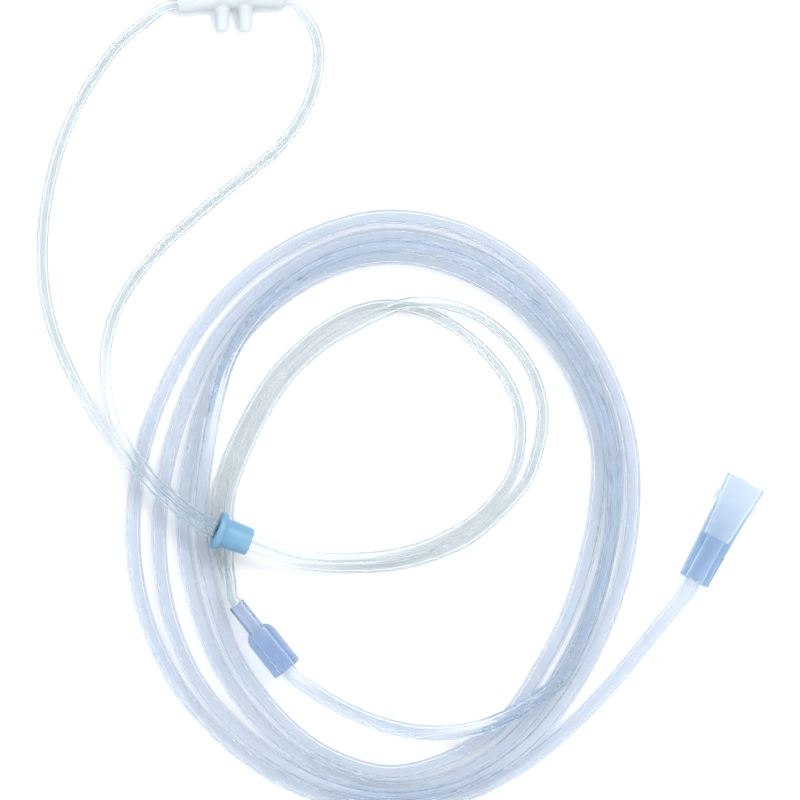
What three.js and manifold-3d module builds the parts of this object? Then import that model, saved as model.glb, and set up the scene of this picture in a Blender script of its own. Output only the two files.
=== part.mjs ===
// Nasal oxygen cannula, laid out flat on a table.
// A soft prong piece feeds two thin head tubes. They run side by side through a sliding
// ring and end in a Y connector. From there one thicker supply tube runs in a loose coil
// of four turns to a flared push-on connector for the oxygen outlet.
// Millimetres, +Z up, the table is at Z = 0.

import * as THREE from "three";
import { mergeVertices } from "three/addons/utils/BufferGeometryUtils.js";
import Module from "manifold-3d";

const wasm = await Module();
wasm.setup();

// Tubes
const HEAD_TUBE_OD = 3.6;
const SUPPLY_TUBE_OD = 4.8;
const HEAD_TUBE_SIDES = 8;
const SUPPLY_TUBE_SIDES = 10;
const END_GAP = 0.3; // between a tube's end and the face that it meets
const LIE_GAP = 0.3; // between a piece and the tubes that it lies on
const PAIR_GAP = 0.2; // between the two head tubes where they run side by side

// Slider, the ring that is pushed up under the chin
const SLIDER_LENGTH = 11;
const SLIDER_WALL = 0.45; // beside the bore, at the plain end
const SLIDER_TAPER = 0.3; // the body's radius grows by this towards the flange
const SLIDER_CLEARANCE = 0.15; // round the tubes in the bore
const FLANGE_LENGTH = 2;
const FLANGE_STEP = 1.3; // how far the flange stands out from the body
const SLIDER_TRAVEL = 10;
const SLIDER_DROP = 9; // degrees that its axis falls towards the plain end
const SLIDER_TURN = 21; // degrees that its axis turns down from +X, seen from above
const PAIR_LEAN = 48; // degrees from flat at which one head tube lies over the other

// Y connector
const Y_BODY_OD = 9.6;
const Y_BODY_LENGTH = 12.7;
const Y_SHOULDER_LENGTH = 3;
const Y_NECK_LENGTH = 10;
const Y_NECK_WALL = 0.55;
const Y_TURN = 51.7;

// Supply connector: fluted tail, tapered barrel, flared mouth
const TAIL_OD = 9.8;
const TAIL_LENGTH = 11.3;
const BARREL_START_OD = 10.3;
const BARREL_END_OD = 11.2;
const BARREL_LENGTH = 13.8;
const FLARE_LENGTH = 9.6;
const MOUTH_OD = 12.9;
const MOUTH_WALL = 1.1;
const BARREL_WALL = 1;
const SOCKET_DEPTH = 20;
const LUMEN_OD = 3;
const LUG_LENGTH = 2.8;
const LUG_WIDTH = 2.6;
const LUG_STEP = 0.8; // how far each lug stands out from the barrel
const LUG_FROM_MOUTH = 7.4;
const CONNECTOR_TURN = 62.2; // degrees up from +X, seen from above

// Prong piece
const CROSSBAR_OD = 6.1;
const PRONG_ROOT_OD = 4.8;
const PRONG_TIP_OD = 3.8;
const PRONG_LENGTH = 7.4; // out of the crossbar
const PRONG_SPACING = 7.2; // between their axes
const PRONG_LUMEN_OD = 2.2;
const PRONG_LUMEN_DEPTH = 6;
const LEFT_END_DROP = 9; // degrees that the crossbar's bow falls at each end
const RIGHT_END_DROP = 7;
const BOW_REACH = 10.8; // how far each end's direction shapes the bow

// Coil of the supply tube
const COIL_TURNS_SLACK = 0.2; // height over one layer of tube
const COIL_SECOND_LAYER = 0.87; // in tube diameters, where turns lie in the grooves
const COIL_STEPS = 72;
const COIL_ROUNDING = { across: 0.12, up: 0.3 }; // shares of the section's width and height

// The route is read off a picture of the cannula seen from straight above, in picture
// units, with Y down. One unit is this many millimetres, and ORIGIN is at X = 0, Y = 0.
const UNIT = 0.31;
const ORIGIN = { x: 238.247, y: 333.818 };
const COIL_CENTRE = { x: 385, y: 505 };
const CROSSBAR_LEFT = { x: 178, y: 5.8 };
const CROSSBAR_RIGHT = { x: 284.6, y: 1.5 };
const FLANGE_AT = { x: 217.7, y: 528.7 };
const Y_NECK_AT = { x: 236.5, y: 603.3 };
const TAIL_AT = { x: 692.8, y: 580 };

// Heights of a tube's centre line
const HEAD_ON_TABLE = HEAD_TUBE_OD / 2;
const SUPPLY_ON_TABLE = SUPPLY_TUBE_OD / 2;
const COIL_HEIGHT = SUPPLY_TUBE_OD + COIL_TURNS_SLACK;
const HEAD_ON_COIL = COIL_HEIGHT + LIE_GAP + HEAD_TUBE_OD / 2;
const CROSSBAR_HEIGHT = CROSSBAR_OD / 2;
const Y_HEIGHT = Y_BODY_OD / 2;

// The slider's bore holds the two tubes one beside the other
const PAIR_SPACING = HEAD_TUBE_OD + PAIR_GAP;
const BORE_WIDTH = HEAD_TUBE_OD + 2 * SLIDER_CLEARANCE;
const BORE_LENGTH = PAIR_SPACING + BORE_WIDTH;
const SLIDER_END_R = BORE_LENGTH / 2 + SLIDER_WALL;
const FLANGE_R = SLIDER_END_R + SLIDER_TAPER + FLANGE_STEP;
const FLANGE_HEIGHT = COIL_HEIGHT + LIE_GAP + FLANGE_R;

const rad = THREE.MathUtils.degToRad;

function at(x, y, z) {
  return new THREE.Vector3((x - ORIGIN.x) * UNIT, (ORIGIN.y - y) * UNIT, z);
}

function place(spot, z) {
  return at(spot.x, spot.y, z);
}

// A direction turned up from +X by turn and lifted out of the table's plane by lift
function heading(turn, lift = 0) {
  const flat = Math.cos(rad(lift));
  return new THREE.Vector3(
    Math.cos(rad(turn)) * flat,
    Math.sin(rad(turn)) * flat,
    Math.sin(rad(lift)),
  );
}

function toSolid(geometry) {
  const bare = geometry.clone();
  bare.deleteAttribute("normal");
  bare.deleteAttribute("uv");
  const merged = mergeVertices(bare, 1e-4);
  return new wasm.Manifold(new wasm.Mesh({
    numProp: 3,
    vertProperties: merged.attributes.position.array,
    triVerts: new Uint32Array(merged.index.array),
  }));
}

function toGeometry(solid) {
  const mesh = solid.getMesh();
  const geometry = new THREE.BufferGeometry();
  geometry.setAttribute("position", new THREE.BufferAttribute(mesh.vertProperties, 3));
  geometry.setIndex(new THREE.BufferAttribute(mesh.triVerts, 1));
  geometry.computeVertexNormals();
  return geometry;
}

function turned(profile, sides) {
  const points = profile.map(([radius, height]) => new THREE.Vector2(radius, height));
  return new THREE.LatheGeometry(points, sides).rotateX(Math.PI / 2);
}

function rod(bottomOd, topOd, length, sides, start = 0) {
  return turned([[0, 0], [bottomOd / 2, 0], [topOd / 2, length], [0, length]], sides)
    .translate(0, 0, start);
}

// Two half circles joined by straight sides, the long way along X
function slot(width, length) {
  const shape = new THREE.Shape();
  const reach = (length - width) / 2;
  shape.absarc(reach, 0, width / 2, -Math.PI / 2, Math.PI / 2, false);
  shape.absarc(-reach, 0, width / 2, Math.PI / 2, 1.5 * Math.PI, false);
  return shape;
}

function slotRod(width, length, depth, start) {
  const options = { depth, bevelEnabled: false, curveSegments: 8 };
  return new THREE.ExtrudeGeometry(slot(width, length), options).translate(0, 0, start);
}

// Turns a piece that was built along +Z to point along direction, its X axis at spin
// degrees from level
function aim(geometry, direction, spin, position) {
  const level = new THREE.Vector3(-direction.y, direction.x, 0).normalize();
  const upper = new THREE.Vector3().crossVectors(direction, level);
  const x = level.clone().multiplyScalar(Math.cos(rad(spin)))
    .addScaledVector(upper, Math.sin(rad(spin)));
  const y = new THREE.Vector3().crossVectors(direction, x);
  const matrix = new THREE.Matrix4().makeBasis(x, y, direction).setPosition(position);
  return geometry.applyMatrix4(matrix);
}

// A route keeps to its hand-set points: each piece of it has the same number of steps
class Route extends THREE.CatmullRomCurve3 {
  getUtoTmapping(u) {
    return u;
  }
}

function tube(points, diameter, sides) {
  const round = new THREE.Shape();
  for (let side = 0; side < sides; side += 1) {
    const angle = (side / sides) * 2 * Math.PI;
    const x = Math.cos(angle) * diameter / 2;
    const y = Math.sin(angle) * diameter / 2;
    if (side === 0) round.moveTo(x, y);
    else round.lineTo(x, y);
  }
  const route = new Route(points, false, "centripetal");
  return new THREE.ExtrudeGeometry(round, { steps: points.length - 1, extrudePath: route });
}

function named(name, geometry, color, roughness) {
  const material = new THREE.MeshStandardMaterial({ color, roughness, metalness: 0 });
  const mesh = new THREE.Mesh(geometry, material);
  mesh.name = name;
  return mesh;
}

// Pair of head tubes, from where they meet beside the coil, over it, through the slider
// and round to where they part again. Each station gives the pair's middle: x, y, height,
// and how far the right tube leans over the left one.
const sliderAxis = heading(-SLIDER_TURN, -SLIDER_DROP);
const flangeFace = place(FLANGE_AT, FLANGE_HEIGHT);

function onSliderAxis(distance) {
  return flangeFace.clone().addScaledVector(sliderAxis, distance);
}

const leanRise = (lean) => Math.sin(rad(lean)) * PAIR_SPACING / 2;
const straightRun = SLIDER_LENGTH + SLIDER_TRAVEL + END_GAP;
const runEnd = onSliderAxis(straightRun);
const pairRest = HEAD_ON_TABLE + leanRise(PAIR_LEAN);
const fall = runEnd.z - pairRest;

const pairStations = [
  [at(120, 441.5, HEAD_ON_COIL + 0.1), 30],
  [at(131, 457, HEAD_ON_COIL + 1.6), 45],
  [at(144, 472, HEAD_ON_COIL + 2.4), 58],
  [at(158, 486, HEAD_ON_COIL + 3.4), 62],
  [at(172, 498.5, HEAD_ON_COIL + 4.2), 62],
  [at(187, 510.5, FLANGE_HEIGHT + 0.8), 58],
  [at(202, 520.8, FLANGE_HEIGHT + 0.7), 52],
  [onSliderAxis(-0.5), PAIR_LEAN],
  [onSliderAxis(straightRun / 2), PAIR_LEAN],
  [runEnd, PAIR_LEAN],
  [at(302, 559.3, pairRest + fall * 0.6), PAIR_LEAN],
  [at(323, 561.8, pairRest + fall * 0.23), PAIR_LEAN],
  [at(346, 562.5, pairRest + fall * 0.05), PAIR_LEAN],
  [at(372, 561.8, pairRest), PAIR_LEAN],
  [at(399, 558.5, pairRest), PAIR_LEAN],
  [at(425, 551.7, HEAD_ON_TABLE + leanRise(40)), 40],
  [at(449, 541.8, HEAD_ON_TABLE + leanRise(22)), 22],
  [at(471, 529.5, HEAD_ON_TABLE), 0],
];

function pairTube(side) {
  return pairStations.map(([middle, lean], index) => {
    const before = pairStations[Math.max(index - 1, 0)][0];
    const after = pairStations[Math.min(index + 1, pairStations.length - 1)][0];
    const onRun = middle.z > pairRest && (index >= 7 && index <= 9);
    const along = onRun ? sliderAxis.clone() : after.clone().sub(before).normalize();
    const level = new THREE.Vector3(-along.y, along.x, 0).normalize();
    const over = new THREE.Vector3().crossVectors(along, level);
    return middle.clone()
      .addScaledVector(level, side * Math.cos(rad(lean)) * PAIR_SPACING / 2)
      .addScaledVector(over, side * Math.sin(rad(lean)) * PAIR_SPACING / 2);
  });
}

// Where the tubes enter the Y connector, one above the other
const yAxis = heading(-Y_TURN);
const neckFace = place(Y_NECK_AT, Y_HEIGHT);

function neckEntry(side, distance) {
  return neckFace.clone().addScaledVector(yAxis, -distance)
    .add(new THREE.Vector3(0, 0, side * PAIR_SPACING / 2));
}

// The crossbar's two ends, and how the tubes leave them
const leftOut = heading(180 + LEFT_END_DROP);
const rightOut = heading(-RIGHT_END_DROP);
const crossbarLeft = place(CROSSBAR_LEFT, CROSSBAR_HEIGHT);
const crossbarRight = place(CROSSBAR_RIGHT, CROSSBAR_HEIGHT);

function outOf(end, direction, distance) {
  return end.clone().addScaledVector(direction, distance);
}

const crossingHeight = HEAD_ON_TABLE + PAIR_SPACING + LIE_GAP;
const humpFoot = HEAD_ON_TABLE + (crossingHeight - HEAD_ON_TABLE) * 0.45;
const besideHeight = (apart) => HEAD_ON_TABLE
  + Math.sqrt(Math.max(PAIR_SPACING ** 2 - (apart * UNIT) ** 2, 0));

const leftPoints = [
  outOf(crossbarLeft, leftOut, END_GAP),
  outOf(crossbarLeft, leftOut, END_GAP + HEAD_TUBE_OD),
  at(146, 22, HEAD_ON_TABLE + 0.2),
  at(121, 42.5, HEAD_ON_TABLE),
  at(98, 72.5, HEAD_ON_TABLE),
  at(79, 104, HEAD_ON_TABLE),
  at(64, 138, HEAD_ON_TABLE),
  at(52.5, 176, HEAD_ON_TABLE),
  at(45, 216, HEAD_ON_TABLE),
  at(42.8, 256, HEAD_ON_TABLE),
  at(46, 298, HEAD_ON_TABLE),
  at(56, 337, HEAD_ON_TABLE),
  at(72, 373.5, HEAD_ON_TABLE + 1),
  at(91, 408, HEAD_ON_TABLE + 3),
  ...pairTube(-1),
  at(503.5, 508.5, HEAD_ON_TABLE),
  at(526, 482, HEAD_ON_TABLE),
  at(538, 450, HEAD_ON_TABLE),
  at(543, 418, HEAD_ON_TABLE),
  at(537.5, 385, HEAD_ON_TABLE),
  at(521, 353.5, HEAD_ON_TABLE),
  at(497, 329, HEAD_ON_TABLE + 0.2),
  at(468.5, 311.5, humpFoot),
  at(437, 303.2, crossingHeight),
  at(407, 303.5, crossingHeight),
  at(379, 313.5, besideHeight(3) + 0.1),
  at(356, 325.2, HEAD_ON_TABLE),
  at(332, 338.3, HEAD_ON_TABLE),
  at(310, 355.3, HEAD_ON_TABLE),
  at(287, 379, HEAD_ON_TABLE),
  at(267.5, 407.5, HEAD_ON_TABLE),
  at(252, 437.5, HEAD_ON_TABLE),
  at(239, 468, HEAD_ON_TABLE),
  at(230, 495, HEAD_ON_TABLE),
  at(227.5, 523, HEAD_ON_TABLE + 0.1),
  at(228.2, 546, besideHeight(11.2)),
  at(228.3, 555, HEAD_ON_TABLE + 2.8),
  at(228.6, 567, besideHeight(4.7) + 0.1),
  at(231.7, 586, HEAD_ON_TABLE + PAIR_SPACING + 0.6),
  neckEntry(1, 2),
  neckEntry(1, END_GAP),
];

const rightPoints = [
  outOf(crossbarRight, rightOut, END_GAP),
  outOf(crossbarRight, rightOut, END_GAP + HEAD_TUBE_OD * 0.7),
  at(303, 13.5, HEAD_ON_TABLE + 0.4),
  at(314.5, 32, HEAD_ON_TABLE),
  at(319.3, 58, HEAD_ON_TABLE),
  at(314.5, 87, HEAD_ON_TABLE),
  at(302, 117, HEAD_ON_TABLE),
  at(279, 147.5, HEAD_ON_TABLE),
  at(249, 173, HEAD_ON_TABLE),
  at(217, 198.5, HEAD_ON_TABLE),
  at(185, 225.5, HEAD_ON_TABLE),
  at(156, 253.5, HEAD_ON_TABLE),
  at(131, 284.5, HEAD_ON_TABLE),
  at(113.5, 319, HEAD_ON_TABLE + 0.4),
  at(106, 355, HEAD_ON_TABLE + 2.2),
  at(107.5, 391, HEAD_ON_TABLE + 4.2),
  at(115, 421.5, HEAD_ON_TABLE + 5.6),
  ...pairTube(1),
  at(495, 499.5, HEAD_ON_TABLE),
  at(513, 473, HEAD_ON_TABLE),
  at(520.5, 440, HEAD_ON_TABLE),
  at(518, 407, HEAD_ON_TABLE),
  at(505, 377, HEAD_ON_TABLE),
  at(483, 350, HEAD_ON_TABLE),
  at(455, 327.8, HEAD_ON_TABLE),
  at(425, 312, HEAD_ON_TABLE),
  at(391, 305.5, HEAD_ON_TABLE),
  at(358, 311, HEAD_ON_TABLE),
  at(327, 326, HEAD_ON_TABLE),
  at(301, 346.3, HEAD_ON_TABLE),
  at(276, 371.8, HEAD_ON_TABLE),
  at(256, 402, HEAD_ON_TABLE),
  at(239.5, 433.5, HEAD_ON_TABLE),
  at(226.5, 464.5, HEAD_ON_TABLE),
  at(217.5, 493.5, HEAD_ON_TABLE),
  at(215, 523, HEAD_ON_TABLE),
  at(217.3, 546, HEAD_ON_TABLE),
  at(219.7, 555, HEAD_ON_TABLE),
  at(223.9, 567, HEAD_ON_TABLE),
  at(231, 586, HEAD_ON_TABLE + 0.6),
  neckEntry(-1, 2),
  neckEntry(-1, END_GAP),
];

// Supply tube on both sides of its coil
const connectorLift = THREE.MathUtils.radToDeg(
  Math.atan((MOUTH_OD - TAIL_OD) / 2 / (TAIL_LENGTH + BARREL_LENGTH + FLARE_LENGTH)),
);
const connectorAxis = heading(CONNECTOR_TURN, connectorLift);
const tailFace = place(TAIL_AT, TAIL_OD / 2 * Math.cos(rad(connectorLift)));
const yEnd = neckFace.clone()
  .addScaledVector(yAxis, Y_NECK_LENGTH + Y_SHOULDER_LENGTH + Y_BODY_LENGTH);

const leadPoints = [
  outOf(yEnd, yAxis, END_GAP),
  outOf(yEnd, yAxis, END_GAP + SUPPLY_TUBE_OD / 2),
  at(308, 686, SUPPLY_ON_TABLE + 1.1),
  at(328, 699, SUPPLY_ON_TABLE + 0.2),
  at(352, 712, SUPPLY_ON_TABLE),
  at(380, 723.2, SUPPLY_ON_TABLE),
  at(410, 730.3, SUPPLY_ON_TABLE + 0.3),
  at(436, 732.3, SUPPLY_ON_TABLE + 1),
  at(458, 731, SUPPLY_ON_TABLE + 1.8),
];

const tailPoints = [
  at(563, 731, SUPPLY_ON_TABLE),
  at(587, 709, SUPPLY_ON_TABLE),
  at(612, 682.5, SUPPLY_ON_TABLE),
  at(635, 655, SUPPLY_ON_TABLE),
  at(657, 627.5, SUPPLY_ON_TABLE + 0.4),
  at(676, 604, SUPPLY_ON_TABLE + 1.3),
  outOf(tailFace, connectorAxis, -END_GAP - SUPPLY_TUBE_OD / 2),
  outOf(tailFace, connectorAxis, -END_GAP),
];

// Coil: the outer shape of the four turns. The edges are distances from the coil's
// centre in picture units, every 15 degrees, counted anticlockwise from +X.
const coilOuter = [
  255, 259.5, 265, 273, 284.5, 293.5, 295.5, 287, 275.5, 265, 257, 255.5,
  258.5, 265.5, 274.5, 284, 292.5, 300.5, 306, 304.5, 289, 270.5, 258.5, 254.5,
];
const coilInner = [
  203.5, 212.5, 218.5, 225.5, 233, 239, 240.5, 232.5, 219.5, 205.5, 188.5, 178,
  176.5, 179, 188, 205, 223.5, 245.5, 260, 252, 236, 215.5, 205, 200.5,
];
const STACK_CLEAR = { middle: 195, reach: 34, fade: 34 }; // degrees where one layer lies

// A value of a closed list of evenly spaced stations, on a smooth curve through them
function around(list, turn) {
  const place = ((turn % 360) + 360) % 360 / 360 * list.length;
  const first = Math.floor(place);
  const pick = (offset) => list[(first + offset + list.length) % list.length];
  const t = place - first;
  const [a, b, c, d] = [pick(-1), pick(0), pick(1), pick(2)];
  return 0.5 * (2 * b + (c - a) * t + (2 * a - 5 * b + 4 * c - d) * t ** 2
    + (3 * b - a - 3 * c + d) * t ** 3);
}

function coilTop(turn) {
  const away = Math.abs(((turn - STACK_CLEAR.middle + 540) % 360) - 180);
  const layers = THREE.MathUtils.smoothstep(
    away, STACK_CLEAR.reach, STACK_CLEAR.reach + STACK_CLEAR.fade,
  );
  return COIL_HEIGHT + layers * COIL_SECOND_LAYER * SUPPLY_TUBE_OD;
}

// A round ring is turned first, and its section is then drawn out to the coil's edges
function coilGeometry() {
  const { across, up } = COIL_ROUNDING;
  const inside = 2.5; // the plain ring's bore, and its section is one by one
  const section = [
    [0, up], [across, 0], [1 - across, 0], [1, up],
    [1, 1 - up], [1 - across, 1], [across, 1], [0, 1 - up], [0, up],
  ].map(([share, height]) => new THREE.Vector2(inside + share, height));
  const ring = new THREE.LatheGeometry(section, COIL_STEPS).rotateX(Math.PI / 2);
  const position = ring.attributes.position;
  for (let index = 0; index < position.count; index += 1) {
    const x = position.getX(index);
    const y = position.getY(index);
    const turn = THREE.MathUtils.radToDeg(Math.atan2(y, x));
    const share = Math.hypot(x, y) - inside;
    const inner = around(coilInner, turn);
    const reach = inner + (around(coilOuter, turn) - inner) * share;
    const spot = at(
      COIL_CENTRE.x + reach * Math.cos(rad(turn)),
      COIL_CENTRE.y - reach * Math.sin(rad(turn)),
      position.getZ(index) * coilTop(turn),
    );
    position.setXYZ(index, spot.x, spot.y, spot.z);
  }
  return ring;
}

function sliderGeometry() {
  const bodyR = SLIDER_END_R + SLIDER_TAPER;
  const outside = turned([
    [0, 0],
    [FLANGE_R, 0],
    [FLANGE_R, FLANGE_LENGTH],
    [bodyR, FLANGE_LENGTH],
    [SLIDER_END_R, SLIDER_LENGTH],
    [0, SLIDER_LENGTH],
  ], 40);
  const bore = slotRod(BORE_WIDTH, BORE_LENGTH, SLIDER_LENGTH + 2, -1);
  const solid = toSolid(outside).subtract(toSolid(bore));
  return aim(toGeometry(solid), sliderAxis, PAIR_LEAN, flangeFace);
}

// The neck's long way stands upright, so its X axis is turned up by a right angle
function yGeometry() {
  const neckWidth = HEAD_TUBE_OD + 2 * Y_NECK_WALL;
  const neckHeight = PAIR_SPACING + neckWidth;
  const bodyStart = Y_NECK_LENGTH + Y_SHOULDER_LENGTH;
  const neck = slotRod(neckWidth, neckHeight, Y_NECK_LENGTH + 0.5, 0);
  const shoulder = rod(1, 1, Y_SHOULDER_LENGTH, 32, Y_NECK_LENGTH);
  const position = shoulder.attributes.position;
  for (let index = 0; index < position.count; index += 1) {
    const high = position.getZ(index) > Y_NECK_LENGTH + Y_SHOULDER_LENGTH / 2;
    const wide = high ? Y_BODY_OD : neckHeight;
    const deep = high ? Y_BODY_OD : neckWidth;
    position.setX(index, position.getX(index) * wide);
    position.setY(index, position.getY(index) * deep);
  }
  const body = rod(Y_BODY_OD, Y_BODY_OD, Y_BODY_LENGTH, 32, bodyStart);
  const solid = toSolid(neck).add(toSolid(shoulder)).add(toSolid(body));
  return aim(toGeometry(solid), yAxis, 90, neckFace);
}

function connectorGeometry() {
  const barrelEnd = TAIL_LENGTH + BARREL_LENGTH;
  const mouth = barrelEnd + FLARE_LENGTH;
  const floor = mouth - SOCKET_DEPTH;
  const lumenR = LUMEN_OD / 2;
  const slope = (BARREL_END_OD - BARREL_START_OD) / 2 / BARREL_LENGTH;
  const barrelR = (height) => BARREL_START_OD / 2 + slope * (height - TAIL_LENGTH);
  const profile = [
    [lumenR, 0],
    [TAIL_OD / 2, 0],
    [TAIL_OD / 2, TAIL_LENGTH - 0.6],
    [barrelR(TAIL_LENGTH), TAIL_LENGTH],
    [barrelR(barrelEnd), barrelEnd],
    [barrelR(barrelEnd) + (MOUTH_OD / 2 - barrelR(barrelEnd)) * 0.4, barrelEnd + FLARE_LENGTH / 2],
    [MOUTH_OD / 2, mouth],
    [MOUTH_OD / 2 - MOUTH_WALL, mouth],
    [barrelR(barrelEnd) - BARREL_WALL, barrelEnd],
    [barrelR(floor) - BARREL_WALL, floor],
    [lumenR, floor],
    [lumenR, 0],
  ];
  const lugCentre = mouth - LUG_FROM_MOUTH;
  const lug = new THREE.BoxGeometry(
    2 * (barrelR(barrelEnd) + LUG_STEP), LUG_WIDTH, LUG_LENGTH,
  ).translate(0, 0, lugCentre);
  const socket = rod(
    2 * (barrelR(floor) - BARREL_WALL), 2 * (MOUTH_OD / 2 - MOUTH_WALL),
    SOCKET_DEPTH, 32, floor,
  );
  const lugs = toSolid(lug).subtract(toSolid(socket));
  const solid = toSolid(turned(profile, 32)).add(lugs);
  return aim(toGeometry(solid), connectorAxis, 0, tailFace);
}

// The crossbar bows slightly, its ends square to +X, and both prongs point down the page
function prongGeometry() {
  const middle = crossbarLeft.clone().lerp(crossbarRight, 0.5);
  const bow = new THREE.CubicBezierCurve3(
    crossbarLeft,
    outOf(crossbarLeft, leftOut, -BOW_REACH),
    outOf(crossbarRight, rightOut, -BOW_REACH),
    crossbarRight,
  );
  const round = new THREE.Shape().absarc(0, 0, CROSSBAR_OD / 2, 0, 2 * Math.PI);
  const bar = new THREE.ExtrudeGeometry(round, { steps: 12, curveSegments: 10, extrudePath: bow });
  const reach = CROSSBAR_OD / 2 + PRONG_LENGTH;
  let solid = toSolid(bar);
  const down = new THREE.Vector3(0, -1, 0);
  const prongs = [-1, 1].map((side) => new THREE.Vector3(
    middle.x + 0.9 + side * PRONG_SPACING / 2, middle.y + 1.1, CROSSBAR_HEIGHT,
  ));
  for (const root of prongs) {
    const prong = turned([
      [0, 0],
      [PRONG_ROOT_OD / 2, 0],
      [PRONG_TIP_OD / 2, reach - 0.6],
      [PRONG_TIP_OD / 2 - 0.5, reach],
      [0, reach],
    ], 24);
    solid = solid.add(toSolid(aim(prong, down, 0, root)));
  }
  for (const root of prongs) {
    const lumen = rod(
      PRONG_LUMEN_OD, PRONG_LUMEN_OD, PRONG_LUMEN_DEPTH + 1, 16, reach - PRONG_LUMEN_DEPTH,
    );
    solid = solid.subtract(toSolid(aim(lumen, down, 0, root)));
  }
  return toGeometry(solid);
}

const laidPieces = [
  named("nasal_prongs", prongGeometry(), "#d9ecf8", 0.5),
  named("slider", sliderGeometry(), "#8fc1dc", 0.45),
  named("y_connector", yGeometry(), "#a9bbe8", 0.25),
];
const cannula = new THREE.Group();
cannula.add(
  ...laidPieces,
  named("left_head_tube", tube(leftPoints, HEAD_TUBE_OD, HEAD_TUBE_SIDES), "#d7e9f6", 0.2),
  named("right_head_tube", tube(rightPoints, HEAD_TUBE_OD, HEAD_TUBE_SIDES), "#d7e9f6", 0.2),
  named("supply_tube_lead", tube(leadPoints, SUPPLY_TUBE_OD, SUPPLY_TUBE_SIDES), "#cfdcf3", 0.2),
  named("supply_tube_coil", coilGeometry(), "#cfdcf3", 0.2),
  named("supply_tube_tail", tube(tailPoints, SUPPLY_TUBE_OD, SUPPLY_TUBE_SIDES), "#cfdcf3", 0.2),
  named("supply_connector", connectorGeometry(), "#bccbf0", 0.2),
);

// X = 0, Y = 0 is midway between the outer sides of the prong piece, slider and Y connector
const laidBox = new THREE.Box3();
for (const piece of laidPieces) laidBox.expandByObject(piece);
const laidMiddle = laidBox.getCenter(new THREE.Vector3());
cannula.position.set(-laidMiddle.x, -laidMiddle.y, 0);

export default cannula;
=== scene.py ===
from math import atan2, cos, degrees, pi, radians, sin, sqrt

import bmesh
import bpy
import numpy as np
from mathutils import Matrix, Vector


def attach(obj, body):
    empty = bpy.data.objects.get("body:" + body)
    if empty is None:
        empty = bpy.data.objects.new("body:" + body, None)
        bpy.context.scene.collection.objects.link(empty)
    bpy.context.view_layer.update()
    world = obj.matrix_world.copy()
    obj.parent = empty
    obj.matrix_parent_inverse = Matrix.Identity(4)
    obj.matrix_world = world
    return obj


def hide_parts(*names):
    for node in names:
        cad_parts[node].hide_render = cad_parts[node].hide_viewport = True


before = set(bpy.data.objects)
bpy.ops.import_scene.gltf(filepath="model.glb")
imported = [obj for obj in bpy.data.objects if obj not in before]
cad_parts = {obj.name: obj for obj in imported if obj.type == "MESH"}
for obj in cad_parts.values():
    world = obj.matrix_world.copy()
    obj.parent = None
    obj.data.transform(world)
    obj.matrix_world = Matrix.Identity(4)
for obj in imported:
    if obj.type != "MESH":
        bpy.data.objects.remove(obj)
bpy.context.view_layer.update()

# Camera. The cannula lies on a table and is seen from straight above through a long
# lens. Places on the table are read off that picture, 800 units across with Y down;
# one unit is 0.31 mm, and sizes and heights are in millimetres.
MM = 0.001
UNIT = 0.31
ORIGIN = (238.247, 333.818)
PICTURE = 800
CAMERA_HEIGHT = 1500
SENSOR = 36


def at(x, y, height=0.0):
    """The point at a place on the picture, in millimetres."""
    return Vector(((x - ORIGIN[0]) * UNIT, (ORIGIN[1] - y) * UNIT, height))


camera_data = bpy.data.cameras.new("overhead_camera")
camera_data.sensor_width = SENSOR
camera_data.lens = SENSOR * CAMERA_HEIGHT / (PICTURE * UNIT)
camera_data.clip_end = 20
camera = bpy.data.objects.new("overhead_camera", camera_data)
camera.location = at(PICTURE / 2, PICTURE / 2, CAMERA_HEIGHT) * MM
bpy.context.scene.collection.objects.link(camera)
bpy.context.scene.camera = camera

# Table and light. A white table under soft white light: the whole room glows evenly,
# darker low down, and one wide lamp at the upper right draws the highlight along each
# tube and a faint shadow to its lower left.
TABLE_WHITE = "#f6f7f9"
ROOM_ZENITH = "#ffffff"
ROOM_HORIZON = "#7f93c8"
ROOM_STRENGTH = 1.25
ROOM_WHITE_FROM = 0.42
LAMP_AT = (420, 460, 900)
LAMP_SIZE = 340
LAMP_POWER = 5.0
CLEAR_LAYERS = 28
TABLE_HALF = 2500


def linear(hex_colour):
    """The linear colour, with alpha 1, of an sRGB colour written as hex."""
    channels = [int(hex_colour[i:i + 2], 16) / 255 for i in (1, 3, 5)]
    return [c / 12.92 if c < 0.04045 else ((c + 0.055) / 1.055) ** 2.4 for c in channels] + [1]


def node(tree, kind, settings=None, **links):
    """Adds a node. Settings are its properties, or values of its sockets by name, and
    links are its sockets, with _ for a space, each given the output that feeds it."""
    made = tree.nodes.new(kind)
    for name, value in (settings or {}).items():
        if name in made.inputs:
            made.inputs[name].default_value = value
        else:
            setattr(made, name, value)
    for name, output in links.items():
        tree.links.new(output, made.inputs[name.replace("_", " ")])
    return made


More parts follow.
